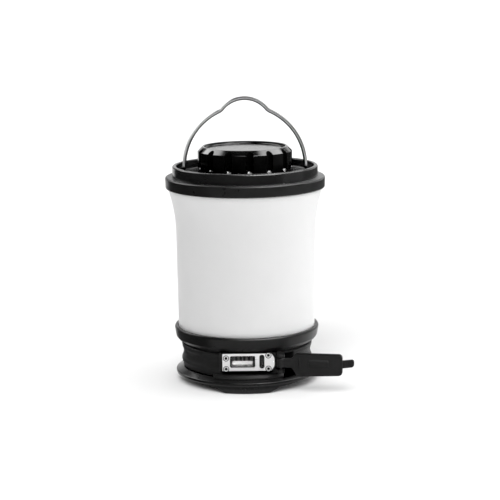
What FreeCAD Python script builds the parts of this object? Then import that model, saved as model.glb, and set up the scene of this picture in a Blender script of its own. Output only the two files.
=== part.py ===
import FreeCAD, Part
import math
import os

V = FreeCAD.Vector
os.makedirs("parts", exist_ok=True)

# ---------------------------------------------------------------------------
# Driving dimensions, millimetres. +Z runs up the lantern's axis, the ground is
# z = 0, the ports face -Y.
# ---------------------------------------------------------------------------
gap = 0.05                 # assembly gap between pieces that do not move

# feet and base ring
foot_h = 4.2               # height of the moulded feet
foot_half_low = 12.0       # half width of a foot on the ground
foot_half_mid = 17.9       # half width where its steep flank ends
foot_mid_z = 3.05
foot_half_high = 33.0      # half width of a foot where it joins the ring
ring_r = 40.4              # outer radius of the base ring
ring_in = 36.0             # inner radius of the base ring

# base housing
house_bot = 8.4
house_low_r = 37.15        # crest of the lower band
house_waist_r = 36.12      # waist
house_top_r = 37.15
house_top = 21.9
house_in = 34.4
spigot_r = 35.9
deck_bot, deck_top = 27.4, 30.0

# lower bumper
bump_low, bump_top = 24.0, 31.7
bump_r = 41.0

# diffuser
dif_bot, dif_top = 30.35, 110.0
dif_r_low = 38.75
dif_r_mid = 39.3
dif_flare_z = 84.0
dif_flare_r = 80.0
dif_wall = 2.2

# collar and head
collar_r = 45.0
collar_bot, collar_top = 110.1, 116.5
lip_r, lip_in, lip_top = 40.9, 38.8, 122.6
trough_z = 117.3
neck_r, neck_in, neck_top = 22.5, 20.6, 125.0

# screw cap
cap_r, cap_bot, cap_top = 26.5, 118.2, 133.3
cap_edge_z = 130.7         # foot of the bevel
cap_rim_r = 23.9           # top of the bevel
cap_dish_r, cap_dish_z = 22.8, 132.1
cap_skirt_in = 22.9
scallops = 14
scallop_r = 2.1
scallop_phase = 5.6        # degrees to the right of the front
scallop_end_z = 122.4
post_r = 4.0
thread_pitch = 2.5
thread_h = 0.72            # height of the thread on the neck
thread_z = 121.75          # start of the thread on the neck
thread_clear = 0.36        # room round the thread in the cap's groove

# bail
wire_r = 1.05
pivot_z = 120.2
bail_half = 34.0           # half width of the legs
bail_bend = 1.6
crown_r, crown_top = 16.0, 160.0
shoulder_r = 5.0
pin_end = 40.3
pivot_clear = 0.07

# port plate and sockets
plate_y = -38.2            # front face
plate_t = 1.0
plate_x0, plate_x1, plate_tip = -13.65, 13.3, 15.1
plate_z0, plate_z1 = 13.1, 22.75
boss_y = -37.6
boss_x0, boss_x1 = -15.4, 16.0
boss_z0, boss_z1 = 12.95, 22.7
usb_x, usb_z = -2.5, 18.2
micro_x, micro_z = 8.15, 18.2
plate_screws = [(-11.6, 20.2), (-11.6, 14.15), (11.75, 21.7), (11.75, 14.15)]

# port cover
hinge_x, hinge_y = 18.5, -39.6
cover_open = 170.0         # degrees from shut to the open rest position
cover_x0, cover_x1 = -15.6, 12.3
cover_z0, cover_z1 = 10.4, 23.45
cover_lift = 1.2           # the lower edge rises towards the free end
cover_in, cover_out = -38.5, -41.5
knuckle_r = 2.2
knuckle_z0, knuckle_z1 = 14.6, 20.7
lug_low_z, lug_top_z, lug_r = 12.3, 22.6, 2.1
hinge_pin_r = 0.8

# power button
button_r = 5.5
button_z = 16.9
button_face = 37.4

# battery bay
cell_r, cell_h = 9.2, 65.0
cell_z = 36.9
cell_pitch = 10.75
tube_r = 22.0


# ---------------------------------------------------------------------------
# Helpers
# ---------------------------------------------------------------------------
def outline(pts):
    """Closed outline in the XZ plane; a third number rounds that corner."""
    n = len(pts)
    corner = [V(p[0], 0, p[1]) for p in pts]
    rad = [p[2] if len(p) > 2 else 0.0 for p in pts]
    ends = []
    for i in range(n):
        a, b, c = corner[i - 1], corner[i], corner[(i + 1) % n]
        if rad[i] == 0:
            ends.append((b, None, b))
            continue
        u = (a - b).normalize()
        w = (c - b).normalize()
        half = 0.5 * u.getAngle(w)
        t = rad[i] / math.tan(half)
        bis = (u + w).normalize()
        mid = b + bis * (rad[i] / math.sin(half) - rad[i])
        ends.append((b + u * t, mid, b + w * t))
    edges = []
    for i in range(n):
        s, m, e = ends[i]
        if m is not None:
            edges.append(Part.Arc(s, m, e).toShape())
        nxt = ends[(i + 1) % n][0]
        if e.distanceToPoint(nxt) > 1e-6:
            edges.append(Part.makeLine(e, nxt))
    return Part.Wire(edges)


def turned(pts):
    return Part.Face(outline(pts)).revolve(V(0, 0, 0), V(0, 0, 1), 360)


def ring(r0, r1, z0, z1, f=0.0):
    return turned([(r0, z0, f), (r1, z0, f), (r1, z1, f), (r0, z1, f)])


def cyl(r, z0, z1, x=0.0, y=0.0):
    return Part.makeCylinder(r, z1 - z0, V(x, y, z0))


def cyl_y(r, x, z, y0, y1):
    return Part.makeCylinder(r, y1 - y0, V(x, y0, z), V(0, 1, 0))


def cyl_x(r, y, z, x0, x1):
    return Part.makeCylinder(r, x1 - x0, V(x0, y, z), V(1, 0, 0))


def box(x0, x1, y0, y1, z0, z1):
    return Part.makeBox(x1 - x0, y1 - y0, z1 - z0, V(x0, y0, z0))


def slab(pts, y0, y1):
    """Outline in the XZ plane carried from y0 to y1."""
    s = Part.Face(outline(pts)).extrude(V(0, y1 - y0, 0))
    s.translate(V(0, y0, 0))
    return s


def rect(x0, x1, z0, z1, f=0.0):
    return [(x0, z0, f), (x1, z0, f), (x1, z1, f), (x0, z1, f)]


def edges_at_y(shape, y):
    return [e for e in shape.Edges if all(abs(v.Point.y - y) < 1e-6 for v in e.Vertexes)]


def torus(major, minor, z):
    return Part.makeTorus(major, minor, V(0, 0, z), V(0, 0, 1))


def polar(r, deg):
    return r * math.cos(math.radians(deg)), r * math.sin(math.radians(deg))


def helical(r0, r1, w0, w1, z_start, turns):
    """Helical ridge of trapezoid section, half width w0 at r0 and w1 at r1, rising with the thread's pitch."""
    helix = Part.makeHelix(thread_pitch, thread_pitch * turns, r0)
    section = Part.makePolygon([V(r0, 0, -w0), V(r1, 0, -w1), V(r1, 0, w1), V(r0, 0, w0), V(r0, 0, -w0)])
    ridge = Part.Wire(helix.Edges).makePipeShell([Part.Wire(section.Edges)], True, True)
    ridge.translate(V(0, 0, z_start))
    return ridge


def group(solids):
    return Part.makeCompound([s for shape in solids for s in shape.Solids])


def save(name, shape, count=1):
    solids = shape.Solids
    if len(solids) != count or not all(s.isValid() for s in solids):
        print("CHECK", name, "solids", len(solids), [s.isValid() for s in solids])
    out = solids[0] if len(solids) == 1 else Part.makeCompound(solids)
    out.exportStep("parts/" + name + ".step")
    print("%-22s solids %d volume %.1f mm3" % (name, len(solids), shape.Volume))


# ---------------------------------------------------------------------------
# Base ring with its three feet
# ---------------------------------------------------------------------------
foot_ring = turned([
    (ring_in, foot_h), (ring_r - 0.5, foot_h, 0.4), (ring_r, 5.0, 0.4), (ring_r, 6.25, 0.4),
    (36.6, 8.15, 0.3), (36.1, 8.2), (34.6, 8.2), (34.6, 6.1), (ring_in, 6.1)])
foot_band = turned([(ring_in, 0.0, 0.5), (39.4, 0.0, 1.1), (ring_r - 0.45, foot_h + 0.6), (ring_in, foot_h + 0.6)])
foot_cut = slab([(-foot_half_low, 0.0, 5.0), (foot_half_low, 0.0, 5.0), (foot_half_mid, foot_mid_z, 3.0),
                 (foot_half_high, foot_h + 0.6), (-foot_half_high, foot_h + 0.6), (-foot_half_mid, foot_mid_z, 3.0)], -45.0, -18.0)
foot = foot_band.common(foot_cut)
for turn in (0, 120, 240):
    f = foot.copy()
    f.rotate(V(0, 0, 0), V(0, 0, 1), turn)
    foot_ring = foot_ring.fuse(f)
foot_ring = foot_ring.removeSplitter()
save("foot_ring", foot_ring)

# ---------------------------------------------------------------------------
# Underside cover, tripod insert and cover screws
# ---------------------------------------------------------------------------
posts = [polar(30.0, a) for a in (30, 150, 210, 330)]
cover = turned([(4.97, 0.0), (9.0, 0.0, 0.5), (9.6, 3.4, 0.5), (ring_in - 0.1, 3.4, 0.5), (ring_in - 0.1, 6.0),
                (10.0, 6.0, 1.0), (9.0, 9.2), (4.97, 9.2)])
for x, y in posts:
    cover = cover.cut(cyl(1.4, 3.0, 7.0, x, y)).cut(cyl(2.6, 3.0, 4.7, x, y))
# shallow ring grooves on the underside
for r in (15.0, 22.0):
    cover = cover.cut(ring(r, r + 1.0, 3.0, 3.8))
save("bottom_cover", cover)

insert = cyl(4.92, 0.0, 9.2).cut(cyl(2.55, -1.0, 7.0))
save("tripod_insert", insert)

screws = []
for x, y in posts:
    s = cyl(2.4, 3.55, 4.65, x, y).fuse(cyl(1.25, 4.6, 14.0, x, y))
    s = s.cut(box(x - 1.5, x + 1.5, y - 0.3, y + 0.3, 3.0, 4.15)).cut(box(x - 0.3, x + 0.3, y - 1.5, y + 1.5, 3.0, 4.15))
    screws.append(s)
save("bottom_screws", group(screws), 4)

# ---------------------------------------------------------------------------
# Base housing: waisted shell, deck, port boss, cover lugs
# ---------------------------------------------------------------------------
house = turned([
    (house_in, house_bot), (35.3, house_bot), (36.3, 9.15, 0.2), (house_low_r, 12.1, 0.4),
    (house_low_r - 0.03, 13.1, 0.5), (36.4, 14.9, 2.5), (house_waist_r, 16.6, 3.0), (36.4, 18.3, 3.0), (36.95, 19.8, 1.5),
    (house_top_r, 21.35, 0.3), (house_top_r - 0.35, house_top), (spigot_r, house_top), (spigot_r, deck_top, 0.3),
    (0.0, deck_top), (0.0, deck_bot), (house_in, deck_bot, 1.0)])
boss = box(boss_x0, boss_x1, boss_y, -33.5, boss_z0, boss_z1)
boss = boss.makeFillet(0.5, [e for e in boss.Edges
                             if all(abs(v.Point.y - boss_y) < 1e-6 for v in e.Vertexes)])
house = house.fuse(boss)
# flared sill under the boss
sill = turned([(35.0, 8.45), (36.5, 8.45), (38.15, 7.65, 0.15), (38.35, 8.6, 0.3), (37.35, 10.1), (35.0, 10.1)])
span = Part.Face(Part.makePolygon([V(x, y, 7.0) for x, y in ((-19.0, -32.5), (-14.6, -39.0), (-14.6, -45.0), (20.3, -45.0),
                                                              (20.3, -28.0), (-19.0, -28.0), (-19.0, -32.5))])).extrude(V(0, 0, 5.0))
house = house.fuse(sill.common(span))
lug_up = cyl(lug_r, knuckle_z1 + 0.2, lug_top_z, hinge_x, hinge_y).fuse(
    box(hinge_x - lug_r, hinge_x + lug_r, hinge_y, -32.0, knuckle_z1 + 0.2, lug_top_z))
lug_low = cyl(lug_r, lug_low_z, knuckle_z0 - 0.2, hinge_x, hinge_y).fuse(
    box(hinge_x - lug_r, hinge_x + lug_r, hinge_y, -32.0, lug_low_z, knuckle_z0 - 0.2))
house = house.fuse(lug_up).fuse(lug_low)
for x, y in posts:
    house = house.fuse(cyl(3.0, 6.1, deck_bot + 0.2, x, y))
house = house.removeSplitter()
# clear the inside again behind the boss and the lugs, leaving the posts
room = cyl(house_in, 8.0, deck_bot - 1.2)
for x, y in posts:
    room = room.cut(cyl(3.0, 5.0, 30.0, x, y))
house = house.cut(room)
# space for the knuckle to turn in
house = house.cut(cyl(knuckle_r + 0.5, knuckle_z0 - 0.2, knuckle_z1 + 0.2, hinge_x, hinge_y))
# seat for the plate, and the window the sockets look through
plate_seat = [(plate_x0 - 0.55, plate_z0 - 0.9, 0.6), (plate_x1 + 0.2, plate_z0 - 0.9, 0.6), (plate_tip + 0.25, 15.5, 3.5),
              (plate_tip + 0.25, 20.5, 3.5), (plate_x1 + 0.2, plate_z1 + 0.15, 0.6), (plate_x0 - 0.55, plate_z1 + 0.15, 0.6)]
house = house.cut(slab(plate_seat, boss_y - 2.0, plate_y + plate_t))
# deep shadow groove beside the plate and below the boss
moat = slab([(plate_x0 - 0.7, boss_z0 - 1.0, 0.6), (plate_x1 + 0.4, boss_z0 - 1.0, 0.6), (plate_tip + 0.45, 15.4, 3.5),
             (plate_tip + 0.45, 20.6, 3.5), (plate_x1 + 0.4, plate_z1 + 1.0, 0.6), (plate_x0 - 0.7, plate_z1 + 1.0, 0.6)],
            boss_y - 2.0, -35.6)
moat = moat.cut(slab([(plate_x0 + 0.3, boss_z0 - 2.0), (plate_x1 - 0.3, boss_z0 - 2.0), (plate_x1 - 0.3, 13.4),
                      (plate_tip - 0.4, 15.8, 3.0), (plate_tip - 0.4, 20.2, 3.0), (plate_x1 - 0.3, 22.45),
                      (plate_x1 - 0.3, plate_z1 + 2.0), (plate_x0 + 0.3, plate_z1 + 2.0)], boss_y - 3.0, -34.0))
house = house.cut(moat)
house = house.cut(box(boss_x0 - 0.5, boss_x1 + 0.5, boss_y - 2.0, -35.5, 10.1, boss_z0))
house = house.cut(slab(rect(-9.9, 10.45, 14.3, 22.0, 0.8), -39.0, -30.0))
for x, z in plate_screws:
    house = house.cut(cyl_y(0.82, x, z, -40.0, -33.0))
house = house.cut(cyl(hinge_pin_r + 0.02, 11.0, 23.4, hinge_x, hinge_y))
# holes for the button, the light pipes, the leads and the screws
house = house.cut(cyl_y(button_r + 0.06, 0.0, button_z, 30.0, 40.0))
pipe_dirs = [(math.cos(math.radians(a)), math.sin(math.radians(a))) for a in (56, 61, 66, 71)]
for cx, cy in pipe_dirs:
    house = house.cut(Part.makeCylinder(0.95, 12.0, V(cx * 30, cy * 30, button_z), V(cx, cy, 0)))
lead_at = [polar(29.0, 112), polar(29.0, 117), polar(14.0, 112), polar(14.0, 122)]
for x, y in lead_at:
    house = house.cut(cyl(1.1, 26.0, 31.0, x, y))
tube_screw_at = [polar(24.2, a) for a in (45, 165, 285)]
for x, y in tube_screw_at:
    house = house.cut(cyl(1.15, 26.0, 31.0, x, y))
for x, y in posts:
    house = house.cut(cyl(1.27, 5.0, 15.0, x, y))
save("base_housing", house)

# ---------------------------------------------------------------------------
# Lower bumper
# ---------------------------------------------------------------------------
bumper = turned([
    (spigot_r + gap, bump_low), (38.8, bump_low, 0.35), (40.15, 25.7, 0.6), (bump_r, 30.6, 1.2), (40.5, bump_top, 0.5),
    (38.95, bump_top, 0.3), (38.95, 29.4), (spigot_r + gap, 29.4)])
save("lower_bumper", bumper)
save("diffuser_bottom_seal", ring(36.1, 38.6, 29.45, 30.3))

# ---------------------------------------------------------------------------
# Diffuser: slightly tapered sleeve with a flared top
# ---------------------------------------------------------------------------
def flare(z, wall):
    """Radius of the flare's arc at height z, offset inwards by wall."""
    r = dif_flare_r + wall
    return dif_r_mid + dif_flare_r - math.sqrt(r * r - (z - dif_flare_z) ** 2)


def dif_edge(wall, z0):
    low = V(dif_r_low - wall, 0, z0)
    mid = V(dif_r_mid - wall, 0, dif_flare_z)
    z_half = 0.5 * (dif_flare_z + dif_top)
    return (low, mid, V(flare(z_half, wall), 0, z_half), V(flare(dif_top, wall), 0, dif_top))


o = dif_edge(0.0, dif_bot)
i = dif_edge(dif_wall, dif_bot)
diffuser = Part.Face(Part.Wire([
    Part.makeLine(o[0], o[1]), Part.Arc(o[1], o[2], o[3]).toShape(), Part.makeLine(o[3], i[3]),
    Part.Arc(i[3], i[2], i[1]).toShape(), Part.makeLine(i[1], i[0]), Part.makeLine(i[0], o[0])]))
diffuser = diffuser.revolve(V(0, 0, 0), V(0, 0, 1), 360)
save("diffuser", diffuser)

# ---------------------------------------------------------------------------
# Collar, head and seals
# ---------------------------------------------------------------------------
save("top_bumper", turned([
    (43.3, collar_bot), (collar_r - 0.2, collar_bot, 0.6), (collar_r, collar_top - 0.1, 0.9), (lip_r + gap, collar_top),
    (lip_r + gap, 112.5), (43.3, 112.5)]))

head = turned([
    (neck_in, 113.0), (36.8, 113.0, 1.0), (36.8, 105.0), (39.3, 105.0, 0.4), (39.3, 106.5), (38.5, 106.5), (38.5, 108.5),
    (39.3, 108.5), (39.3, collar_bot), (43.2, collar_bot), (43.2, 112.4), (lip_r, 112.4), (lip_r, lip_top, 0.8),
    (lip_in, lip_top, 0.5), (lip_in, trough_z, 1.2), (neck_r, trough_z, 0.5), (neck_r, 119.1), (21.7, 119.1),
    (21.7, 120.5), (neck_r, 120.5), (neck_r, neck_top - 0.5), (neck_r - 0.5, neck_top), (neck_in, neck_top)])
for s in (-1, 1):
    head = head.cut(cyl_x(wire_r + pivot_clear, 0.0, pivot_z, min(s * 37.0, s * 43.0), max(s * 37.0, s * 43.0)))
    head = head.cut(box(min(s * 19.0, s * 21.7), max(s * 19.0, s * 21.7), -1.7, 1.7, 112.0, 126.0))
# single-start right-hand thread on the neck
head = head.fuse(helical(neck_r - 0.1, neck_r + thread_h, 0.52, 0.34, thread_z, 1.05))
save("top_ring", head)
save("diffuser_top_seal", torus(39.5, 0.9, 107.5))
save("cap_o_ring", torus(22.25, 0.5, 119.8))

# ---------------------------------------------------------------------------
# Screw cap with its contact carrier
# ---------------------------------------------------------------------------
cap = turned([
    (cap_skirt_in, cap_bot), (cap_r, cap_bot, 0.5), (cap_r, cap_edge_z, 0.25), (cap_rim_r, cap_top, 0.25),
    (cap_dish_r, cap_top, 0.25), (cap_dish_r - 0.35, cap_dish_z, 0.3), (0.0, cap_dish_z), (0.0, 110.6), (post_r, 110.6, 0.3),
    (post_r, 111.45), (3.4, 111.45), (3.4, 112.3), (post_r, 112.3), (post_r, 114.3), (6.5, 114.3), (6.5, 127.8, 1.0),
    (cap_skirt_in, 127.8, 1.0)])
# thread groove in the skirt, in mesh with the neck's thread
cap = cap.cut(helical(cap_skirt_in - 0.1, neck_r + thread_h + thread_clear, 0.52 + thread_clear, 0.34 + 0.75 * thread_clear,
                      thread_z - 2 * thread_pitch, 3.75))
for k in range(scallops):
    a = math.radians(scallop_phase + 360.0 / scallops * k)
    x, y = cap_r * math.sin(a), -cap_r * math.cos(a)
    cutter = cyl(scallop_r, scallop_end_z, 136.0, x, y).fuse(Part.makeSphere(scallop_r, V(x, y, scallop_end_z)))
    cap = cap.cut(cutter)
save("top_cap", cap)
clip = ring(3.45, 5.6, 111.55, 112.2).cut(box(-1.2, 1.2, 2.0, 7.0, 110.0, 114.0))
save("cap_retaining_ring", clip)

plate = ring(post_r + 0.06, 20.2, 112.5, 114.1)
for s in (-1, 1):
    plate = plate.fuse(box(min(s * 19.0, s * 21.3), max(s * 19.0, s * 21.3), -1.3, 1.3, 112.5, 114.1))
save("cap_contact_plate", plate.removeSplitter())
save("cap_contact_ring", ring(7.0, 14.6, 111.95, 112.45))

cells_at = [polar(cell_pitch, a) for a in (90, 210, 330)]
spring_path = Part.makeHelix(2.0, 7.2, 3.0)
spring_wire = Part.makePolygon([V(2.55, 0, -0.35), V(3.45, 0, -0.35), V(3.45, 0, 0.35), V(2.55, 0, 0.35), V(2.55, 0, -0.35)])
spring = Part.Wire(spring_path.Edges).makePipeShell([Part.Wire(spring_wire.Edges)], True, True)
springs = []
for x, y in cells_at:
    s = spring.copy()
    s.translate(V(x, y, 104.15))
    springs.append(s)
save("cap_contact_springs", group(springs), 3)

# ---------------------------------------------------------------------------
# Battery tube, cells and lower contacts
# ---------------------------------------------------------------------------
tube = turned([(0.0, 30.1), (26.0, 30.1), (26.0, 31.9, 0.3), (tube_r, 31.9, 0.6), (tube_r, 112.9), (neck_in, 112.9),
               (neck_in, 31.1), (0.0, 31.1)])
for s in (-1, 1):
    tube = tube.cut(box(min(s * 19.0, s * 21.5), max(s * 19.0, s * 21.5), -1.7, 1.7, 108.0, 114.0))
for x, y in lead_at[2:]:
    tube = tube.cut(cyl(1.1, 29.0, 32.0, x, y))
for x, y in tube_screw_at:
    tube = tube.cut(cyl(1.02, 29.0, 31.7, x, y))
save("battery_tube", tube)
save("battery_cells", group([cyl(cell_r, cell_z, cell_z + cell_h, x, y).fuse(
    cyl(2.9, cell_z + cell_h, cell_z + cell_h + 1.5, x, y)).removeSplitter() for x, y in cells_at]), 3)
save("tube_contact_board", cyl(20.3, 31.2, 32.8))
save("tube_contact_studs", group([cyl(2.5, 32.85, 36.85, x, y) for x, y in cells_at]), 3)
save("tube_screws", group([cyl(1.9, 25.9, 27.35, x, y).fuse(cyl(1.0, 27.3, 31.6, x, y)).removeSplitter()
                           for x, y in tube_screw_at]), 3)

# ---------------------------------------------------------------------------
# Light source and reflectors
# ---------------------------------------------------------------------------
save("reflector_sleeve", ring(22.3, 23.3, 32.2, 103.6))
save("top_reflector", ring(23.6, 38.8, 103.7, 104.9))
save("led_board", ring(26.5, 35.5, 30.1, 31.6))
chips = []
for k in range(12):
    c = box(29.5, 32.5, -1.5, 1.5, 31.65, 32.45)
    c.rotate(V(0, 0, 0), V(0, 0, 1), 15 + 30 * k)
    chips.append(c)
save("led_chips", group(chips), 12)

# ---------------------------------------------------------------------------
# Boards in the base
# ---------------------------------------------------------------------------
board = cyl(33.2, 13.6, 15.15).cut(box(-40, 40, -40, -32.0, 10, 20))
board = board.cut(box(5.9, 12.0, -40, -25.5, 10, 20)).cut(box(-9.5, 9.5, 26.5, 40, 10, 20))
for x, y in posts:
    board = board.cut(cyl(3.3, 10, 20, x, y))
save("main_board", board)
save("board_parts", group([
    box(-18, -10, 4, 12, 15.2, 19.2), box(6, 12, -4, 2, 15.2, 16.3), cyl(3.2, 15.2, 21.5, 16.0, 14.0),
    box(-4, 2, 12, 17, 15.2, 16.4), cyl(2.5, 15.2, 20.0, -6.0, -14.0), box(14, 19, -8, -4, 15.2, 17.0)]), 6)
save("charge_board", box(9.42, 10.3, -36.6, -25.8, 15.0, 21.3))
leads = []
for k, (x, y) in enumerate(lead_at):
    leads.append(cyl(0.7, 15.2, 30.05 if k < 2 else 31.15, x, y))
save("inner_leads", group(leads), 4)

# ---------------------------------------------------------------------------
# Port plate, screws and sockets
# ---------------------------------------------------------------------------
pp = slab([(plate_x0, plate_z0, 0.5), (plate_x1, plate_z0, 0.6), (plate_tip, 15.6, 3.5), (plate_tip, 20.4, 3.5),
           (plate_x1, plate_z1, 0.6), (plate_x0, plate_z1, 0.5)], plate_y, plate_y + plate_t - gap)
pp = pp.cut(slab(rect(usb_x - 6.95, usb_x + 6.95, usb_z - 3.25, usb_z + 3.25, 0.9), -40, -36))
pp = pp.cut(slab(rect(micro_x - 1.4, micro_x + 1.4, micro_z - 3.9, micro_z + 3.9, 1.35), -40, -36))
for x, z in plate_screws:
    pp = pp.cut(cyl_y(0.9, x, z, -40, -36)).cut(cyl_y(1.7, x, z, -40, plate_y + 0.6))
save("port_plate", pp)

heads = []
for x, z in plate_screws:
    h = cyl_y(1.35, x, z, plate_y + 0.05, plate_y + 0.57).fuse(cyl_y(0.8, x, z, plate_y + 0.45, -33.6)).removeSplitter()
    hexa = Part.Face(Part.Wire(Part.makePolygon(
        [V(x + 0.75 * math.cos(math.radians(60 * k)), plate_y - 0.5, z + 0.75 * math.sin(math.radians(60 * k)))
         for k in range(7)]).Edges)).extrude(V(0, 1.5, 0))
    heads.append(h.cut(hexa))
save("port_plate_screws", group(heads), 4)

usb_out = slab(rect(usb_x - 6.55, usb_x + 6.55, usb_z - 2.86, usb_z + 2.86, 0.5), -38.0, -24.6)
usb_cav = slab(rect(usb_x - 6.25, usb_x + 6.25, usb_z - 2.56, usb_z + 2.56, 0.3), -39.0, -24.9)
save("usb_a_shell", usb_out.cut(usb_cav))
tongue = slab(rect(usb_x - 5.55, usb_x + 5.55, usb_z - 2.05, usb_z - 0.1, 0.2), -36.0, -25.6).fuse(
    box(usb_x - 6.0, usb_x + 6.0, -25.6, -24.95, usb_z - 2.4, usb_z + 2.4)).removeSplitter()
save("usb_a_tongue", tongue)
save("usb_a_contacts", group([box(usb_x + d - 0.6, usb_x + d + 0.6, -35.6, -25.65, usb_z - 0.07, usb_z + 0.13)
                              for d in (-3.5, -1.0, 1.0, 3.5)]), 4)

mic_out = slab(rect(micro_x - 1.22, micro_x + 1.22, micro_z - 3.7, micro_z + 3.7, 1.0), -37.4, -32.6)
mic_cav = slab(rect(micro_x - 0.98, micro_x + 0.98, micro_z - 3.45, micro_z + 3.45, 0.8), -39.0, -32.9)
save("micro_usb_shell", mic_out.cut(mic_cav))
save("micro_usb_tongue", slab(rect(micro_x - 0.1, micro_x + 0.5, micro_z - 1.9, micro_z + 1.9, 0.1), -36.4, -33.2).fuse(
    slab(rect(micro_x - 0.9, micro_x + 0.9, micro_z - 3.2, micro_z + 3.2, 0.3), -33.4, -32.95)).removeSplitter())

# ---------------------------------------------------------------------------
# Port cover, drawn shut and then swung open about its pin
# ---------------------------------------------------------------------------
body = slab([(cover_x0, cover_z0 + cover_lift, 2.0), (cover_x1 - 3.0, cover_z0, 1.4), (cover_x1, 14.6, 1.0), (cover_x1, 20.5, 1.0),
             (cover_x1 - 1.9, cover_z1, 1.2), (cover_x0, cover_z1, 2.0)], cover_out, cover_in)
body = body.makeFillet(0.7, edges_at_y(body, cover_out))
body = body.makeFillet(0.45, edges_at_y(body, cover_in))
neck = box(cover_x1 - 1.0, hinge_x, hinge_y - 1.1, hinge_y + 1.1, knuckle_z0, knuckle_z1)
knuckle = cyl(knuckle_r, knuckle_z0, knuckle_z1, hinge_x, hinge_y)
tab = slab([(cover_x0 - 6.4, 16.6, 1.4), (cover_x0 + 1.0, 15.6), (cover_x0 + 1.0, 20.0), (cover_x0 - 6.4, 20.9, 1.4)],
           -41.0, -39.0)
tab = tab.makeFillet(0.5, edges_at_y(tab, -41.0) + edges_at_y(tab, -39.0))
# low sealing pads over the mouths of the two sockets
plug_a = slab(rect(usb_x - 5.6, usb_x + 5.6, usb_z - 1.95, usb_z + 1.95, 0.6), cover_in - 0.5, -38.05)
plug_a = plug_a.makeFillet(0.2, edges_at_y(plug_a, -38.05))
plug_m = slab(rect(micro_x - 0.5, micro_x + 0.5, micro_z - 2.9, micro_z + 2.9, 0.4), cover_in - 0.5, -38.05)
flap = body.fuse(neck).fuse(knuckle).fuse(tab).fuse(plug_a).fuse(plug_m).removeSplitter()
flap = flap.cut(cyl(hinge_pin_r + 0.06, 10.0, 24.0, hinge_x, hinge_y))
flap.rotate(V(hinge_x, hinge_y, 0), V(0, 0, 1), cover_open)
save("port_cover", flap)
save("port_cover_pin", cyl(hinge_pin_r, lug_low_z, lug_top_z, hinge_x, hinge_y))

# ---------------------------------------------------------------------------
# Power button at the back, its switch, and the light pipes
# ---------------------------------------------------------------------------
button = Part.Face(outline([(0.0, 31.9), (6.8, 31.9), (6.8, 33.3), (button_r, 33.3), (button_r, button_face - 0.2, 0.5),
                            (4.6, button_face, 0.4), (3.6, button_face - 0.35, 0.4), (0.0, button_face - 0.55)])).revolve(
    V(0, 0, 0), V(0, 0, 1), 360)
button.rotate(V(0, 0, 0), V(1, 0, 0), -90)
button.translate(V(0, 0, button_z))
save("power_button", button)
save("switch_board", box(-8.5, 8.5, 26.9, 28.4, 15.3, 24.5))
save("tact_switch", box(-3.0, 3.0, 28.45, 30.4, button_z - 1.5, button_z + 4.5).fuse(
    cyl_y(1.7, 0.0, button_z, 30.3, 31.25)).removeSplitter())
save("indicator_light_pipes", group([Part.makeCylinder(0.9, 3.15, V(cx * 33.0, cy * 33.0, button_z), V(cx, cy, 0))
                                     for cx, cy in pipe_dirs]), 4)

# ---------------------------------------------------------------------------
# Bail: bent wire, straight runs and tangent arcs in the XZ plane
# ---------------------------------------------------------------------------
arc_z = pivot_z + bail_bend
crown_z = crown_top - crown_r
dz = crown_z - arc_z
fz = (crown_z ** 2 - arc_z ** 2 + (bail_half + shoulder_r) ** 2 - (crown_r + shoulder_r) ** 2) / (2 * dz)
fx = math.sqrt((crown_r + shoulder_r) ** 2 - (fz - crown_z) ** 2)


def on_circle(cx, cz, r, deg):
    return (cx + r * math.cos(math.radians(deg)), cz + r * math.sin(math.radians(deg)))


a1 = math.degrees(math.atan2(fz - arc_z, fx))            # end of the big arc
a2 = math.degrees(math.atan2(fz - crown_z, fx))          # start of the crown
right = [
    ("line", (pin_end, pivot_z), (bail_half + bail_bend, pivot_z)),
    ("arc", (bail_half + bail_bend, pivot_z), on_circle(bail_half + bail_bend, arc_z, bail_bend, 225), (bail_half, arc_z)),
    ("arc", (bail_half, arc_z), on_circle(0, arc_z, bail_half, a1 / 2), on_circle(0, arc_z, bail_half, a1)),
    ("arc", on_circle(fx, fz, shoulder_r, 180 + a1), on_circle(fx, fz, shoulder_r, 180 + 0.5 * (a1 + a2)),
     on_circle(fx, fz, shoulder_r, 180 + a2))]
left = [(s[0],) + tuple((-p[0], p[1]) for p in reversed(s[1:])) for s in reversed(right)]
crown = ("arc", on_circle(0, crown_z, crown_r, a2), (0.0, crown_top), on_circle(0, crown_z, crown_r, 180 - a2))
edges, length = [], 0.0
for seg in right + [crown] + left:
    p = [V(q[0], 0, q[1]) for q in seg[1:]]
    e = Part.makeLine(p[0], p[1]) if seg[0] == "line" else Part.Arc(p[0], p[1], p[2]).toShape()
    edges.append(e)
    length += e.Length
wire_section = Part.Wire(Part.Circle(V(pin_end, 0, pivot_z), V(1, 0, 0), wire_r).toShape())
bail = Part.Wire(edges).makePipeShell([wire_section], True, False)
print("bail length %.1f mm, volume ratio %.4f" % (length, bail.Volume / (length * math.pi * wire_r ** 2)))
save("bail_handle", bail)
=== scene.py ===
import math

import bmesh
import bpy
from mathutils import Matrix, Vector


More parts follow.
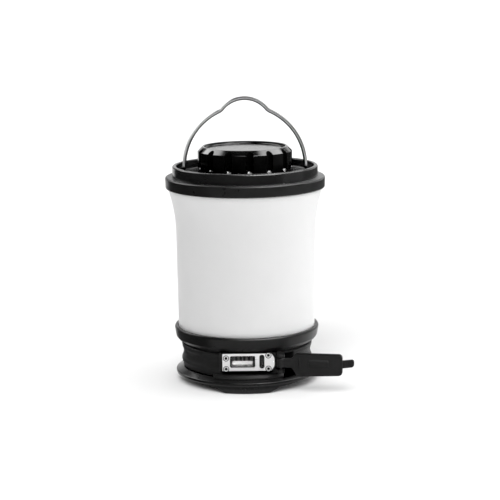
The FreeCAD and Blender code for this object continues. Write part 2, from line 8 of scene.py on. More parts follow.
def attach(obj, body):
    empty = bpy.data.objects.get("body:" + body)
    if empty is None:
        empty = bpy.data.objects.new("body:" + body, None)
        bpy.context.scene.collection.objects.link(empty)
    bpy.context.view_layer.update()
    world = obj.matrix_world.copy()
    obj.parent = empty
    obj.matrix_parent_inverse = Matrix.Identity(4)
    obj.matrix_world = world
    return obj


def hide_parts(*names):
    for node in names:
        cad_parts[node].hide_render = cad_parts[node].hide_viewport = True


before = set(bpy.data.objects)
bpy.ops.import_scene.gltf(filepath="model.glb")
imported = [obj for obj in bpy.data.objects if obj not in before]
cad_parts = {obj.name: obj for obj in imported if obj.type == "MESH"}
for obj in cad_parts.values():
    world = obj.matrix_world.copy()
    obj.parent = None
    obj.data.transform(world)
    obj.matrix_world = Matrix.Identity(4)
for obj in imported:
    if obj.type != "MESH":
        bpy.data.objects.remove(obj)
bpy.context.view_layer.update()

scene = bpy.context.scene
scene.view_settings.view_transform = "Standard"
scene.view_settings.use_curve_mapping = True
scene.view_settings.curve_mapping.black_level = (0.0025, 0.0025, 0.0025)
scene.view_settings.curve_mapping.update()
MM = 0.001


# ---------------------------------------------------------------------------
# Node helpers. Texture coordinates are object coordinates, in metres.
# ---------------------------------------------------------------------------
class Finish:
    def __init__(self, name, **sockets):
        self.mat = bpy.data.materials.new(name)
        self.mat.use_nodes = True
        self.nt = self.mat.node_tree
        self.bsdf = self.nt.nodes["Principled BSDF"]
        for key, value in sockets.items():
            self.bsdf.inputs[key.replace("_", " ")].default_value = value
        self.coord = self.node("ShaderNodeTexCoord").outputs["Object"]

    def node(self, kind, **props):
        n = self.nt.nodes.new(kind)
        for key, value in props.items():
            setattr(n, key, value)
        return n

    def link(self, a, b):
        self.nt.links.new(a, b)

    def set(self, socket, output):
        self.link(output, self.bsdf.inputs[socket])

    def stretch(self, scale, rotate=(0, 0, 0)):
        n = self.node("ShaderNodeMapping")
        n.inputs["Scale"].default_value = scale
        n.inputs["Rotation"].default_value = rotate
        self.link(self.coord, n.inputs["Vector"])
        return n.outputs["Vector"]

    def noise(self, scale, detail=2.0, rough=0.5, vector=None, distort=0.0):
        n = self.node("ShaderNodeTexNoise")
        n.inputs["Scale"].default_value = scale
        n.inputs["Detail"].default_value = detail
        n.inputs["Roughness"].default_value = rough
        n.inputs["Distortion"].default_value = distort
        self.link(vector or self.coord, n.inputs["Vector"])
        return n.outputs["Fac"]

    def cells(self, scale, vector=None, feature="F1"):
        n = self.node("ShaderNodeTexVoronoi", feature=feature)
        n.inputs["Scale"].default_value = scale
        self.link(vector or self.coord, n.inputs["Vector"])
        return n.outputs["Distance"]

    def ramp(self, fac, *stops):
        n = self.node("ShaderNodeValToRGB")
        el = n.color_ramp.elements
        while len(el) < len(stops):
            el.new(0.5)
        for e, (pos, col) in zip(el, stops):
            e.position = pos
            e.color = (col, col, col, 1.0) if isinstance(col, (int, float)) else (*col, 1.0)
        self.link(fac, n.inputs["Fac"])
        return n.outputs["Color"]

    def span(self, fac, low, high, a=0.0, b=1.0):
        n = self.node("ShaderNodeMapRange")
        n.inputs["From Min"].default_value = a
        n.inputs["From Max"].default_value = b
        n.inputs["To Min"].default_value = low
        n.inputs["To Max"].default_value = high
        self.link(fac, n.inputs["Value"])
        return n.outputs["Result"]

    def math(self, op, a, b=None):
        n = self.node("ShaderNodeMath", operation=op)
        for i, v in enumerate((a, b)):
            if v is None:
                continue
            if isinstance(v, (int, float)):
                n.inputs[i].default_value = v
            else:
                self.link(v, n.inputs[i])
        return n.outputs["Value"]

    def mix(self, fac, a, b):
        n = self.node("ShaderNodeMix", data_type="RGBA")
        self.link(fac, n.inputs[0])
        for i, v in ((6, a), (7, b)):
            if isinstance(v, tuple):
                n.inputs[i].default_value = (*v, 1.0)
            else:
                self.link(v, n.inputs[i])
        return n.outputs[2]

    def axis(self, name, vector=None):
        n = self.node("ShaderNodeSeparateXYZ")
        self.link(vector or self.coord, n.inputs["Vector"])
        return n.outputs[name]

    def radius(self):
        flat = self.stretch((1, 1, 0))
        n = self.node("ShaderNodeVectorMath", operation="LENGTH")
        self.link(flat, n.inputs[0])
        return n.outputs["Value"]

    def paint_shade(self, base, spec, shade_zones):
        """Paint shade into the boxes ((x0, x1), (y0, y1), (z0, z1)) in mm: near-black colour and little sheen where
        shade falls in recesses, gaps and under parts.
        """
        shade_mask = None
        for corner in shade_zones:
            here = None
            for name, (a, b) in zip("XYZ", corner):
                at = self.axis(name)
                up = self.span(at, 0.0, 1.0, (a - 0.5) * MM, (a + 0.5) * MM)
                down = self.span(at, 1.0, 0.0, (b - 0.5) * MM, (b + 0.5) * MM)
                inside = self.math("MULTIPLY", up, down)
                here = inside if here is None else self.math("MULTIPLY", here, inside)
            shade_mask = here if shade_mask is None else self.math("MAXIMUM", shade_mask, here)
        if shade_mask is None:
            return base
        self.set("Specular IOR Level", self.span(shade_mask, spec, 0.02))
        return self.mix(shade_mask, base, grey(0.0012))

    def bump(self, *layers):
        """layers: (height, strength, distance in mm), laid one on another."""
        last = None
        for height, strength, dist in layers:
            n = self.node("ShaderNodeBump")
            n.inputs["Strength"].default_value = strength
            n.inputs["Distance"].default_value = dist * MM
            self.link(height, n.inputs["Height"])
            if last is not None:
                self.link(last, n.inputs["Normal"])
            last = n.outputs["Normal"]
        self.set("Normal", last)


def grey(v, warm=0.0):
    return (v * (1 + warm), v, v * (1 - warm))


# ---------------------------------------------------------------------------
# Materials
# ---------------------------------------------------------------------------
def rubber(name, low, high, r0, r1, grain=3600, strength=0.22, spec=0.4, shade_boxes=(), top_light=None):
    """Moulded elastomer: spark-eroded grain, dusty patches, fine scuffs, and painted light on level tops (lint: share
    of light grey at the left and at the right).
    """
    f = Finish(name, Specular_IOR_Level=spec)
    patch = f.noise(90, 4, 0.6)
    fine = f.noise(grain, 3, 0.6)
    scuff = f.ramp(f.noise(900, 2, 0.5, f.stretch((0.25, 0.25, 1.6)), 1.2), (0.60, 0.0), (0.74, 1.0))
    base = f.ramp(patch, (0.35, low), (0.7, high))
    base = f.mix(f.math("MULTIPLY", scuff, 0.3), base, grey(high[1] * 1.9))
    # painted light: level tops are tinted lighter, more so to the right, where the light comes from
    if top_light:
        level = f.span(f.axis("Z", f.node("ShaderNodeTexCoord").outputs["Normal"]), 0.0, 1.0, 0.80, 0.97)
        base = f.mix(f.math("MULTIPLY", level, f.span(f.axis("X"), top_light[0], top_light[1], -10 * MM, 18 * MM)), base, grey(0.5))
    f.set("Base Color", f.paint_shade(base, spec, shade_boxes))
    f.set("Roughness", f.span(f.noise(240, 3, 0.6), r0, r1, 0.3, 0.7))
    f.bump((f.noise(420, 3, 0.55), 0.08, 0.10), (fine, strength, 0.03))
    return f.mat


def plastic(name, low, high, r0, r1, spec=0.45, strength=0.18, shade_boxes=(), well=None):
    """Moulded glass-filled nylon with a fine leather-like texture; dull inside a well (radius, height, sheen)."""
    f = Finish(name, Specular_IOR_Level=spec)
    base = f.ramp(f.noise(130, 4, 0.6), (0.35, low), (0.7, high))
    f.set("Base Color", f.paint_shade(base, spec, shade_boxes))
    if well:
        dull = f.math("MULTIPLY", f.span(f.radius(), 1.0, 0.0, (well[0] - 0.3) * MM, (well[0] + 0.3) * MM),
                      f.span(f.axis("Z"), 1.0, 0.0, well[1] * MM, (well[1] + 2.5) * MM))
        f.set("Specular IOR Level", f.span(dull, spec, well[2]))
    f.set("Roughness", f.span(f.noise(500, 3, 0.6), r0, r1, 0.3, 0.7))
    f.bump((f.cells(2600), strength, 0.03), (f.noise(5200, 2, 0.5), strength, 0.02))
    return f.mat


def anodised(name):
    """Turned and anodised aluminium: concentric tool marks under a hard black film."""
    f = Finish(name, IOR=1.62)
    film = f.ramp(f.noise(160, 3, 0.6), (0.3, grey(0.0052)), (0.75, grey(0.0080)))
    # painted glint: light grey where the cutter ran out of each scallop, standing in for the highlight there, not on
    # the left side
    turn = f.math("ARCTAN2", f.axis("X"), f.math("MULTIPLY", f.axis("Y"), -1.0))
    lobe = f.math("COSINE", f.math("MULTIPLY", f.math("SUBTRACT", turn, math.radians(5.6)), 14.0))
    z = f.axis("Z")
    painted_glint = f.math("MULTIPLY", f.span(lobe, 0.0, 1.0, 0.72, 0.92), f.span(f.radius(), 1.0, 0.0, 26.15 * MM, 26.35 * MM))
    painted_glint = f.math("MULTIPLY", painted_glint, f.math("MULTIPLY", f.span(z, 0.0, 1.0, 120.2 * MM, 120.4 * MM), f.span(z, 1.0, 0.0, 121.0 * MM, 121.5 * MM)))
    painted_glint = f.math("MULTIPLY", painted_glint, f.span(turn, 0.0, 1.0, math.radians(-46), math.radians(-38)))
    f.set("Base Color", f.mix(painted_glint, film, grey(0.55)))
    # grime takes the sheen in the corner of the dish and on the grips
    corner = f.math("MULTIPLY", f.span(f.radius(), 0.0, 1.0, 22.3 * MM, 22.7 * MM), f.span(f.radius(), 1.0, 0.0, 23.5 * MM, 23.8 * MM))
    corner = f.math("MULTIPLY", corner, f.math("MULTIPLY", f.span(z, 0.0, 1.0, 131.9 * MM, 132.2 * MM), f.span(f.axis("Y"), 0.0, 1.0, -4 * MM, 4 * MM)))
    flat = f.math("ABSOLUTE", f.axis("Z", f.node("ShaderNodeTexCoord").outputs["Normal"]))
    grip = f.math("MULTIPLY", f.span(flat, 1.0, 0.0, 0.12, 0.35), f.span(painted_glint, 1.0, 0.0))
    f.set("Specular IOR Level", f.span(f.math("MAXIMUM", corner, grip), 0.5, 0.05))
    f.set("Roughness", f.span(f.noise(700, 4, 0.65), 0.09, 0.17, 0.25, 0.75))
    marks = f.math("SINE", f.math("MULTIPLY", f.radius(), 2 * math.pi / (0.22 * MM)))
    f.bump((marks, 0.05, 0.01), (f.noise(6000, 2, 0.5), 0.06, 0.01))
    return f.mat


def metal(name, colour, r0, r1, stretch=(1, 1, 1), scale=900, strength=0.08, var=0.06, side_shade=None, shaded_holes=(), gloss=1.0, front_shade=None, fade=(0.45, 0.8), edge=None, up_right_shade=None, shaded_below=None, outer=None):
    """Bare metal with directional finish lines. walls: painted shade, the tone of the faces that don't look forward or
    back, as in punched edges and recesses; wells: (x, z, radius) in mm of counterbores painted dark as shade; rim:
    painted shade, the tone of the faces that look forward; edge: tint of grazing reflections; lee: painted shade, the
    tone of the faces that look up and to the right, which dims their highlights; ends: height in mm below which the
    metal is painted near black as shade;
    outer: height of a bow's centre and the painted light tone of the sides that look away from it, which are less
    metallic, while the sides facing it get painted shade."""
    f = Finish(name, Metallic=gloss)
    if edge is not None:
        f.bsdf.inputs["Specular Tint"].default_value = (edge, edge, edge, 1.0)
        f.bsdf.inputs["Specular IOR Level"].default_value = 0.1
    lines = f.noise(scale, 4, 0.6, f.stretch(stretch))
    dark = tuple(c * (1 - var) for c in colour)
    base = f.ramp(lines, (0.3, dark), (0.7, colour))
    # painted shade on the faces that don't look forward or back; with outer, painted light on the sides that look away
    # from a bow's centre and painted shade on those facing it
    if side_shade is not None:
        geo = f.node("ShaderNodeNewGeometry")
        ny = f.math("ABSOLUTE", f.axis("Y", geo.outputs["Normal"]))
        side = grey(side_shade)
        if outer is not None:
            flat = f.node("ShaderNodeTexCoord").outputs["Normal"]
            out = f.math("ADD", f.math("MULTIPLY", f.axis("X", flat), f.axis("X")),
                         f.math("MULTIPLY", f.axis("Z", flat), f.math("SUBTRACT", f.axis("Z"), outer[0] * MM)))
            side = f.mix(f.span(out, 0.0, 1.0, -0.008, 0.012), side, grey(outer[1]))
            f.set("Metallic", f.span(out, 0.96, 0.30, -0.010, 0.014))
            base = f.mix(f.span(out, 1.0, 0.0, -0.014, 0.003), base, grey(0.22))
        base = f.mix(f.span(ny, 1.0, 0.0, *fade), base, side)
    # painted shade on the faces that look forward
    if front_shade is not None:
        geo = f.node("ShaderNodeNewGeometry")
        base = f.mix(f.span(f.axis("Y", geo.outputs["Normal"]), 1.0, 0.0, -0.9, -0.5), base, grey(front_shade))
    # painted shade on the faces that look up and to the right, dimming their highlights
    if up_right_shade is not None:
        geo = f.node("ShaderNodeNewGeometry")
        nx, nz = f.axis("X", geo.outputs["Normal"]), f.axis("Z", geo.outputs["Normal"])
        high = f.math("MULTIPLY", nz, f.math("ADD", nx, 0.5))
        base = f.mix(f.span(high, 0.0, 1.0, 0.0, 0.14), base, grey(up_right_shade))
    # painted shade: near black below a height, where the pins go into the head
    if shaded_below is not None:
        base = f.mix(f.span(f.axis("Z"), 1.0, 0.0, (shaded_below - 0.5) * MM, (shaded_below + 0.5) * MM), base, grey(0.004))
    # painted shade in the holes round the given centres
    for x, z, r in shaded_holes:
        off = f.node("ShaderNodeVectorMath", operation="SUBTRACT")
        f.link(f.coord, off.inputs[0])
        off.inputs[1].default_value = (x * MM, 0.0, z * MM)
        flat = f.node("ShaderNodeVectorMath", operation="MULTIPLY")
        f.link(off.outputs["Vector"], flat.inputs[0])
        flat.inputs[1].default_value = (1.0, 0.0, 1.0)
        size = f.node("ShaderNodeVectorMath", operation="LENGTH")
        f.link(flat.outputs["Vector"], size.inputs[0])
        base = f.mix(f.span(size.outputs["Value"], 1.0, 0.0, (r - 0.04) * MM, (r + 0.04) * MM), base, grey(0.02))
    f.set("Base Color", base)
    f.set("Roughness", f.span(f.noise(scale * 0.7, 3, 0.6, f.stretch(stretch)), r0, r1, 0.25, 0.75))
    f.bump((lines, strength, 0.02))
    return f.mat


def frosted(name):
    """Frosted polycarbonate sleeve: milky body, fine satin skin."""
    f = Finish(name, Specular_IOR_Level=0.3, Subsurface_Weight=1.0, Subsurface_Scale=0.006)
    f.bsdf.inputs["Subsurface Radius"].default_value = (1.0, 1.0, 1.0)
    f.set("Base Color", f.ramp(f.noise(55, 4, 0.6), (0.3, grey(0.85)), (0.72, grey(0.87))))
    f.set("Roughness", f.span(f.noise(1400, 3, 0.6), 0.42, 0.54, 0.3, 0.7))
    f.bump((f.noise(4200, 2, 0.5), 0.06, 0.02))
    return f.mat


def circuit(name, mask, track, scale=420):
    """Circuit board: lacquer over copper tracks, pads and weave."""
    f = Finish(name, Specular_IOR_Level=0.5)
    tracks = f.ramp(f.cells(scale, f.stretch((1, 1, 0.2)), "DISTANCE_TO_EDGE"), (0.04, 1.0), (0.07, 0.0))
    f.set("Base Color", f.mix(tracks, mask, track))
    f.set("Roughness", f.span(f.noise(1500, 2, 0.5), 0.25, 0.42, 0.3, 0.7))
    f.bump((tracks, 0.25, 0.03))
    return f.mat


def speckled(name, low, high, r0, r1, scale=700, strength=0.12, spec=0.5):
    f = Finish(name, Specular_IOR_Level=spec)
    f.set("Base Color", f.ramp(f.noise(scale, 3, 0.6), (0.35, low), (0.68, high)))
    f.set("Roughness", f.span(f.noise(scale * 1.7, 3, 0.6), r0, r1, 0.3, 0.7))
    f.bump((f.noise(scale * 4, 2, 0.5), strength, 0.02))
    return f.mat


def clear(name):
    f = Finish(name, Specular_IOR_Level=0.5, Transmission_Weight=0.55, IOR=1.49)
    f.set("Base Color", f.ramp(f.noise(900, 2, 0.5), (0.3, (0.80, 0.83, 0.84)), (0.7, (0.90, 0.92, 0.92))))
    f.set("Roughness", f.span(f.noise(2500, 2, 0.5), 0.22, 0.34, 0.3, 0.7))
    return f.mat


PLATE_SCREWS = ((-11.6, 20.2), (-11.6, 14.15), (11.75, 21.7), (11.75, 14.15))
M = {
    "rubber_black": rubber("rubber_black", grey(0.0090), grey(0.0125), 0.27, 0.35, spec=0.28),
    "seal_rubber": rubber("seal_rubber", grey(0.010), grey(0.016), 0.45, 0.6, spec=0.3),
    "button_rubber": rubber("button_rubber", grey(0.011), grey(0.018), 0.5, 0.62, 4200),
    # painted shade: the housing's boxes darken the pocket behind the hinge, the recess under the plate and the gaps
    # round the hinge lugs
    "housing_black": plastic("housing_black", grey(0.0170), grey(0.0215), 0.36, 0.46, spec=0.09,
                             shade_boxes=[((20.6, 27.5), (-40, -22), (8.0, 14.0)), ((20.6, 26.0), (-40, -22), (17.2, 21.4)),
                                   ((-15.0, 15.9), (-36.9, -34.0), (10.4, 13.4)), ((15.6, 21.2), (-42.4, -34), (14.1, 14.9)),
                                   ((15.6, 21.2), (-42.4, -34), (20.5, 21.1)), ((19.7, 21.5), (-42.4, -34), (11.5, 15.0))]),
    "head_black": plastic("head_black", grey(0.0115), grey(0.0150), 0.17, 0.23, spec=0.42, strength=0.02, well=(39.6, 117.8, 0.12)),
    "cap_black": anodised("cap_black"),
    "diffuser_white": frosted("diffuser_white"),
    # painted shade and light on the bail: dark sides and up-right faces, near black below the pins, lighter outer sides
    "bail_steel": metal("bail_steel", (0.88, 0.88, 0.88), 0.26, 0.34, scale=1600, strength=0.04, side_shade=0.02, gloss=0.76, fade=(0.58, 0.92), edge=0.12,
                        up_right_shade=0.10, shaded_below=121.9, outer=(121.8, 0.80)),
    # painted shade on the plate's edge faces and round its screws
    "plate_metal": metal("plate_metal", (0.80, 0.80, 0.80), 0.26, 0.36, (0.03, 1, 1), 2600, 0.10, side_shade=0.10,
                         shaded_holes=[(x, z, 1.72) for x, z in PLATE_SCREWS]),
    # painted shade on the socket's front faces
    "socket_steel": metal("socket_steel", (0.82, 0.82, 0.82), 0.22, 0.32, (1, 0.05, 1), 2600, 0.06, front_shade=0.03),
    "screw_steel": metal("screw_steel", (0.72, 0.71, 0.70), 0.22, 0.34, scale=2200, strength=0.08),
    "screw_black": metal("screw_black", (0.05, 0.05, 0.052), 0.32, 0.45, scale=2000, strength=0.08, var=0.2),
    "brass": metal("brass", (0.80, 0.60, 0.27), 0.2, 0.32, scale=1500, strength=0.06, var=0.12),
    "tube_alu": metal("tube_alu", (0.74, 0.75, 0.76), 0.3, 0.42, (1, 1, 0.03), 2200, 0.08),
    "cell_can": speckled("cell_can", (0.025, 0.09, 0.20), (0.035, 0.12, 0.25), 0.3, 0.4, 300, 0.05),
    "board_green": circuit("board_green", (0.010, 0.085, 0.035), (0.022, 0.17, 0.065)),
    "board_white": circuit("board_white", (0.80, 0.80, 0.78), (0.70, 0.70, 0.67)),
    "led_phosphor": speckled("led_phosphor", (0.86, 0.66, 0.16), (0.92, 0.76, 0.25), 0.35, 0.5, 1600, 0.1),
    "reflector_white": speckled("reflector_white", grey(0.84), grey(0.90), 0.4, 0.55, 500, 0.06),
    "part_black": speckled("part_black", grey(0.014), grey(0.03), 0.4, 0.55, 900, 0.12),
    "tongue_plastic": speckled("tongue_plastic", grey(0.64, 0.01), grey(0.70, 0.01), 0.42, 0.55, 900, 0.08),
    "lead_red": speckled("lead_red", (0.36, 0.018, 0.014), (0.46, 0.026, 0.02), 0.4, 0.5, 600, 0.08),
    "light_pipe": clear("light_pipe"),
}

# painted shade on the screws' side faces and in the middle of each head, where the drive recess is
plate_screw = metal("plate_screw_steel", (0.66, 0.66, 0.66), 0.24, 0.34, scale=2200, strength=0.08, side_shade=0.08,
                    shaded_holes=[(x, z, 0.80) for x, z in PLATE_SCREWS])
contact_dark = metal("contact_tin", (0.18, 0.18, 0.18), 0.30, 0.45, (1, 0.05, 1), 2600, 0.06, var=0.2)
tongue_dark = speckled("tongue_dark", grey(0.02), grey(0.045), 0.4, 0.55, 1500, 0.1)
base_rubber = rubber("base_rubber", grey(0.0062), grey(0.0088), 0.27, 0.35, spec=0.27)
# painted shade on the foot ring under the open flap, and painted light on its level top
foot_rubber = rubber("foot_rubber", grey(0.0062), grey(0.0088), 0.16, 0.22, spec=0.30, strength=0.10, top_light=(0.05, 0.07),
                     shade_boxes=[((19.5, 29.0), (-36, -22), (7.0, 9.0))])
# painted light: the collar's level top is tinted lighter, far more on the right
collar_rubber = rubber("collar_rubber", grey(0.0090), grey(0.0125), 0.27, 0.35, spec=0.28, strength=0.05, top_light=(0.03, 0.16))
# painted shade along the top edge of the open flap
cover_rubber = rubber("cover_rubber", grey(0.0098), grey(0.0132), 0.42, 0.50, spec=0.18, shade_boxes=[((18.0, 60.0), (-50.0, -40.0), (23.15, 26.0))])
OWN = {"top_bumper": collar_rubber, "lower_bumper": base_rubber, "foot_ring": foot_rubber, "port_plate_screws": plate_screw, "port_cover_pin": M["screw_black"], "usb_a_contacts": contact_dark, "micro_usb_tongue": tongue_dark}

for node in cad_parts:
    obj = bpy.data.objects[node]
    for s in obj.material_slots:
        s.material = OWN.get(node) or M[s.material.name.split(".")[0]]

# ---------------------------------------------------------------------------
# Port cover: one moulded rubber piece, lofted along its length in the shut position, then swung open
# ---------------------------------------------------------------------------
def ease(t):
    t = min(max(t, 0.0), 1.0)
    return t * t * (3.0 - 2.0 * t)


def nook(d, r):
    """How far a corner of radius r pulls an edge in, at a distance d from the end."""
    d = max(d, 0.0)
    return r - math.sqrt(max(r * r - (r - d) ** 2, 0.0)) if d < r else 0.0


HINGE = (18.5, -39.6)
X0, X1, TAB = -15.6, 12.3, -22.0


def flap_edges(x):
    """Lower and upper edge of the outline, in mm."""
    if x < X0:
        f, c = (x - TAB) / 7.4, nook(x - TAB, 1.4)
        return 16.6 - 1.0 * f + c, 20.9 - 0.9 * f - c
    if x <= X1:
        c = nook(x - X0, 2.0)
        low, high = 11.6 - 1.2 * min((x - X0) / 24.9, 1.0) + c, 23.45 - c
        if x > 9.3:
            low = 10.4 + (x - 9.3) / 3.0 * 5.0
        if x > 10.4:
            high = 23.45 - (x - 10.4) / 1.9 * 2.85
        return low, high
    return 15.4, 20.6


def flap_outline(x):
    if 8.4 < x < 13.2:
        near = [flap_edges(x + 0.25 * k) for k in range(-3, 4)]
        low, high = sum(n[0] for n in near) / 7, sum(n[1] for n in near) / 7
        exact = flap_edges(x)
        return max(low, exact[0]), min(high, exact[1])
    return flap_edges(x)


def flap_depth(x):
    """Outer and inner face, in mm."""
    if x < X0:
        c = nook(x - TAB, 0.6)
        return -41.0 + c, -39.0 - c
    if x <= 11.4:
        return min(-41.0, -41.5 + nook(x - X0, 0.7)), max(-39.0, -38.5 - nook(x - X0, 0.45))
    out, inner = -41.5 + 0.8 * ease((x - 11.4) / 1.3), -38.5
    d = x - HINGE[0]
    if d > -2.2:
        half = math.sqrt(max(4.84 - d * d, 0.0))
        if d < 0:
            half = max(half, 1.1)
        out, inner = HINGE[1] - half, HINGE[1] + half
    return out, inner


def flap_relief(x, z, low, high, inner):
    """Height of the moulded relief above the plain face, in mm."""
    if x < X0 - 0.2:
        along = ease((x + 21.3) / 0.5) * ease((-17.2 - x) / 0.5)
        across = ease((z - low - 0.5) / 0.4) * ease((high - z - 0.5) / 0.4)
        return -0.17 * along * across * (0.5 - 0.5 * math.cos(2 * math.pi * (x + 21.2) / 1.0))
    if x > 11.5:
        return 0.0
    edge = min(x - X0, 12.6 - x, z - low, high - z)
    if inner:
        pads = 0.0
        for cx, cz, wx, wz in ((-2.5, 18.2, 5.6, 1.95), (8.15, 18.2, 0.6, 2.9)):
            pads = max(pads, ease((wx - abs(x - cx)) / 0.5) * ease((wz - abs(z - cz)) / 0.5))
        return 0.32 * pads - 0.10 * ease((edge - 1.1) / 0.3) * (1.0 - pads) + 0.0
    bars = max(math.exp(-((x - c) / 0.28) ** 2) for c in (-13.0, -11.9, -10.8))
    bars *= ease((z - low - 3.2) / 0.5) * ease((high - z - 3.2) / 0.5)
    return -0.26 * ease((edge - 1.5) / 0.5) + 0.30 * bars


def flap_section(x, faces=38, corner=6, side=4):
    """Closed loop of (y, z) round the piece at x: inner face, top, outer face, bottom."""
    low, high = flap_outline(x)
    out, inner = flap_depth(x)
    thick, tall = inner - out, high - low
    ri, ro = min(0.45, 0.42 * thick, 0.42 * tall), min(0.7, 0.45 * thick, 0.45 * tall)
    loop = []
    for k in range(faces):
        z = low + ri + (tall - 2 * ri) * k / (faces - 1)
        loop.append((inner + flap_relief(x, z, low, high, True), z))
    for k in range(1, corner):
        a = math.pi / 2 * k / corner
        loop.append((inner - ri + ri * math.cos(a), high - ri + ri * math.sin(a)))
    for k in range(side + 1):
        loop.append((inner - ri - (thick - ri - ro) * k / side, high))
    for k in range(1, corner):
        a = math.pi / 2 * k / corner
        loop.append((out + ro - ro * math.sin(a), high - ro + ro * math.cos(a)))
    for k in range(faces):
        z = high - ro - (tall - 2 * ro) * k / (faces - 1)
        loop.append((out - flap_relief(x, z, low, high, False), z))
    for k in range(1, corner):
        a = math.pi / 2 * k / corner
        loop.append((out + ro - ro * math.cos(a), low + ro - ro * math.sin(a)))
    for k in range(side + 1):
        loop.append((out + ro + (thick - ri - ro) * k / side, low))
    for k in range(1, corner):
        a = math.pi / 2 * k / corner
        loop.append((inner - ri + ri * math.sin(a), low + ri - ri * math.cos(a)))
    return loop


def port_flap():
    xs = [TAB + d for d in (0.0, 0.04, 0.12, 0.25, 0.42, 0.64, 0.9, 1.15)]
    xs += [TAB + 1.4 + 0.1 * k for k in range(0, 50)]
    xs += [X0 - 0.02] + [X0 + d for d in (0.0, 0.03, 0.09, 0.18, 0.3, 0.45, 0.62, 0.82, 1.05, 1.3, 1.55, 1.8)]
    xs += [X0 + 2.0 + 0.2 * k for k in range(0, 129)]
    xs += [12.6, 13.2, 14.0, 15.0, 16.0, 16.28]
    xs += [HINGE[0] - 2.2 * math.cos(math.pi * k / 28) for k in range(3, 27)]
    turn = Matrix.Translation((*HINGE, 0)) @ Matrix.Rotation(math.radians(170), 4, "Z") @ Matrix.Translation((-HINGE[0], -HINGE[1], 0))
    bm = bmesh.new()
    rows = []
    for x in sorted(set(xs)):
        rows.append([bm.verts.new((turn @ Vector((x, y, z))) * MM) for y, z in flap_section(x)])
    n = len(rows[0])
    for a, b in zip(rows, rows[1:]):
        for k in range(n):
            bm.faces.new((a[k], a[(k + 1) % n], b[(k + 1) % n], b[k]))
    bm.faces.new(rows[0])
    bm.faces.new(rows[-1])
    bmesh.ops.recalc_face_normals(bm, faces=bm.faces)
    me = bpy.data.meshes.new("port_flap")
    bm.to_mesh(me)
    bm.free()
    for poly in me.polygons:
        poly.use_smooth = True
    me.set_sharp_from_angle(angle=math.radians(50))
    o = bpy.data.objects.new("port_flap", me)
    scene.collection.objects.link(o)
    o.data.materials.append(cover_rubber)
    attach(o, "cover")
    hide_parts("port_cover")
    return o


port_flap()

# ---------------------------------------------------------------------------
# Floor, world, lights
# ---------------------------------------------------------------------------
def disc(name, inner, outer, height, start, sweep, steps=96):
    """Flat ring sector on the stage, angles in degrees from +X."""
    bm = bmesh.new()
    rings = [[bm.verts.new((r * math.cos(a), r * math.sin(a), height))
              for a in (math.radians(start + sweep * k / steps) for k in range(steps + 1))] for r in (inner, outer)]
    for k in range(steps):
        bm.faces.new((rings[0][k], rings[1][k], rings[1][k + 1], rings[0][k + 1]))
    me = bpy.data.meshes.new(name)
    bm.to_mesh(me)
    bm.free()
    o = bpy.data.objects.new(name, me)
    scene.collection.objects.link(o)
    return o


def floor():
    bm = bmesh.new()
    bmesh.ops.create_circle(bm, cap_ends=True, segments=96, radius=60.0)
    me = bpy.data.meshes.new("floor")
    bm.to_mesh(me)
    bm.free()
    o = bpy.data.objects.new("floor", me)
    scene.collection.objects.link(o)
    f = Finish("floor_paper", Roughness=0.9, Specular_IOR_Level=0.1)
    f.set("Base Color", f.ramp(f.noise(3, 2, 0.5), (0.3, grey(0.715)), (0.7, grey(0.725))))
    o.data.materials.append(f.mat)
    return o


# a broad lamp over the camera for the paper alone, so that the ground stays white
paper = floor()
lit = bpy.data.collections.new("paper_only")
lit.objects.link(paper)
lamp = bpy.data.lights.new("paper_lamp", "SUN")
lamp.energy = 2.8
lamp.angle = math.radians(38)
lamp_obj = bpy.data.objects.new("paper_lamp", lamp)
lamp_obj.rotation_euler = (math.radians(46), math.radians(-16), 0.0)
scene.collection.objects.link(lamp_obj)
lamp_obj.light_linking.receiver_collection = lit

# dark cards lie on the floor in front and at the left: only reflections show them
for name, inner, outer, start, sweep, tone in (("flag_card", 0.42, 9.0, 125.0, 203.0, 0.005), ("right_card", 0.42, 9.0, -32.0, 44.0, 0.40),
                                                  ("far_card", 0.42, 9.0, 12.0, 68.0, 0.12),
                                                  ("side_card", 0.055, 0.42, 135.0, 62.0, 0.14),
                                                  ("corner_card", 0.085, 0.42, 197.0, 23.0, 0.14),
                                                  ("near_card", 0.043, 0.085, 197.0, 25.0, 0.06),
                                                  ("front_card", 0.044, 0.085, 222.0, 98.0, 0.48)):
    card = disc(name, inner, outer, 0.0004, start, sweep)
    f = Finish(name + "_paint", Roughness=1.0, Specular_IOR_Level=0.0)
    f.set("Base Color", f.ramp(f.noise(20, 2, 0.5), (0.3, grey(tone * 0.9)), (0.7, grey(tone * 1.1))))
    card.data.materials.append(f.mat)
    card.visible_camera = card.visible_diffuse = card.visible_transmission = card.visible_shadow = False

world = bpy.data.worlds.new("studio")
scene.world = world
world.use_nodes = True
wt = world.node_tree
for n in list(wt.nodes):
    wt.nodes.remove(n)


def wnode(kind, **props):
    n = wt.nodes.new(kind)
    for key, value in props.items():
        setattr(n, key, value)
    return n


def wmath(op, a, b=None, clamp=False):
    n = wnode("ShaderNodeMath", operation=op, use_clamp=clamp)
    for i, v in enumerate((a, b)):
        if v is None:
            continue
        if isinstance(v, (int, float)):
            n.inputs[i].default_value = v
        else:
            wt.links.new(v, n.inputs[i])
    return n.outputs["Value"]


def wrange(v, a, b, low, high):
    n = wnode("ShaderNodeMapRange", interpolation_type="SMOOTHSTEP")
    for key, val in (("From Min", a), ("From Max", b), ("To Min", low), ("To Max", high)):
        n.inputs[key].default_value = val
    wt.links.new(v, n.inputs["Value"])
    return n.outputs["Result"]


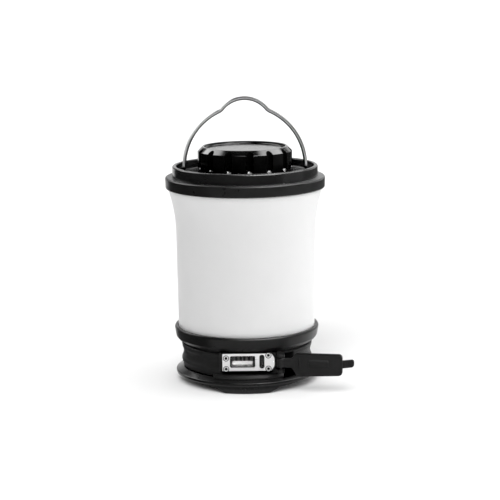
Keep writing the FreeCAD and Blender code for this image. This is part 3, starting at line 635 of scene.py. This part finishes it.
way = wnode("ShaderNodeTexCoord").outputs["Generated"]
sep = wnode("ShaderNodeSeparateXYZ")
wt.links.new(way, sep.inputs["Vector"])
dx, dy, dz = sep.outputs["X"], sep.outputs["Y"], sep.outputs["Z"]
def glow(direction, inner, outer, level):
    """A round soft box in the sky: full inside `inner` degrees of its centre, gone by `outer`."""
    dot = wnode("ShaderNodeVectorMath", operation="DOT_PRODUCT")
    wt.links.new(way, dot.inputs[0])
    dot.inputs[1].default_value = Vector(direction).normalized()
    return wrange(dot.outputs["Value"], math.cos(math.radians(outer)), math.cos(math.radians(inner)), 0.0, level)


# What reflections see: a dim room, a white wall behind, three soft boxes overhead with a dark gap between them
wall = wmath("MULTIPLY", wrange(dy, 0.10, 0.75, 0.0, 0.93), wrange(dz, 0.30, 0.56, 1.0, 0.0))
wall = wmath("MULTIPLY", wall, wrange(dx, -0.55, -0.20, 0.05, 1.0))
room = wmath("ADD", wrange(dx, -0.2, 0.8, 0.02, 0.20), wall)
room = wmath("MULTIPLY", room, wrange(dz, 0.75, 0.95, 1.0, 0.2))
for box in (((0.62, 0.20, 0.76), 17, 27, 5.4),
            ((-0.68, 0.40, 0.62), 16, 27, 5.0),
            ((0.05, -0.73, 0.68), 12, 26, 6.0),
            ((0.52, -0.50, 0.69), 14, 26, 12.0),
            ((0.00, 0.58, 0.81), 9, 18, 5.0)):
    room = wmath("ADD", room, glow(*box))
# What lights the matt surfaces: one broad overhead source, stronger on the right
dome = wmath("ADD", wmath("ADD", wmath("MULTIPLY", dx, 0.64), wmath("MULTIPLY", dz, 0.10)), 0.94)
dome = wmath("MAXIMUM", dome, 0.05)
path = wnode("ShaderNodeLightPath")


def pick(flag, yes, no):
    n = wnode("ShaderNodeMix", data_type="FLOAT")
    wt.links.new(flag, n.inputs[0])
    for i, v in ((2, no), (3, yes)):
        if isinstance(v, (int, float)):
            n.inputs[i].default_value = v
        else:
            wt.links.new(v, n.inputs[i])
    return n.outputs[0]


level = pick(path.outputs["Is Camera Ray"], 1.0, pick(path.outputs["Is Glossy Ray"], room, dome))
bg = wnode("ShaderNodeBackground")
wt.links.new(level, bg.inputs["Strength"])
bg.inputs["Color"].default_value = (1.0, 1.0, 1.0, 1.0)
wo = wnode("ShaderNodeOutputWorld")
wt.links.new(bg.outputs["Background"], wo.inputs["Surface"])
world.cycles.sampling_method = "NONE"

# ---------------------------------------------------------------------------
# Camera
# ---------------------------------------------------------------------------
pan, pitch, roll = 0.0024885, 0.1805355, 0.010887
up = Vector((0, 0, 1))
fwd = Vector((math.sin(pan), math.cos(pan), 0))
right = Vector((math.cos(pan), -math.sin(pan), 0))
fwd2 = fwd * math.cos(pitch) - up * math.sin(pitch)
up2 = up * math.cos(pitch) + fwd * math.sin(pitch)
cx = right * math.cos(roll) - up2 * math.sin(roll)
cy = right * math.sin(roll) + up2 * math.cos(roll)
cam = bpy.data.cameras.new("camera")
cam.sensor_fit = "HORIZONTAL"
cam.sensor_width = 36.0
cam.lens = 122.138
cam.clip_start, cam.clip_end = 0.01, 200.0
cam_obj = bpy.data.objects.new("camera", cam)
cam_obj.matrix_world = Matrix.Translation((0.0, -0.946196, 0.246524)) @ Matrix((cx, cy, -fwd2)).transposed().to_4x4()
scene.collection.objects.link(cam_obj)
scene.camera = cam_obj

bpy.context.view_layer.update()
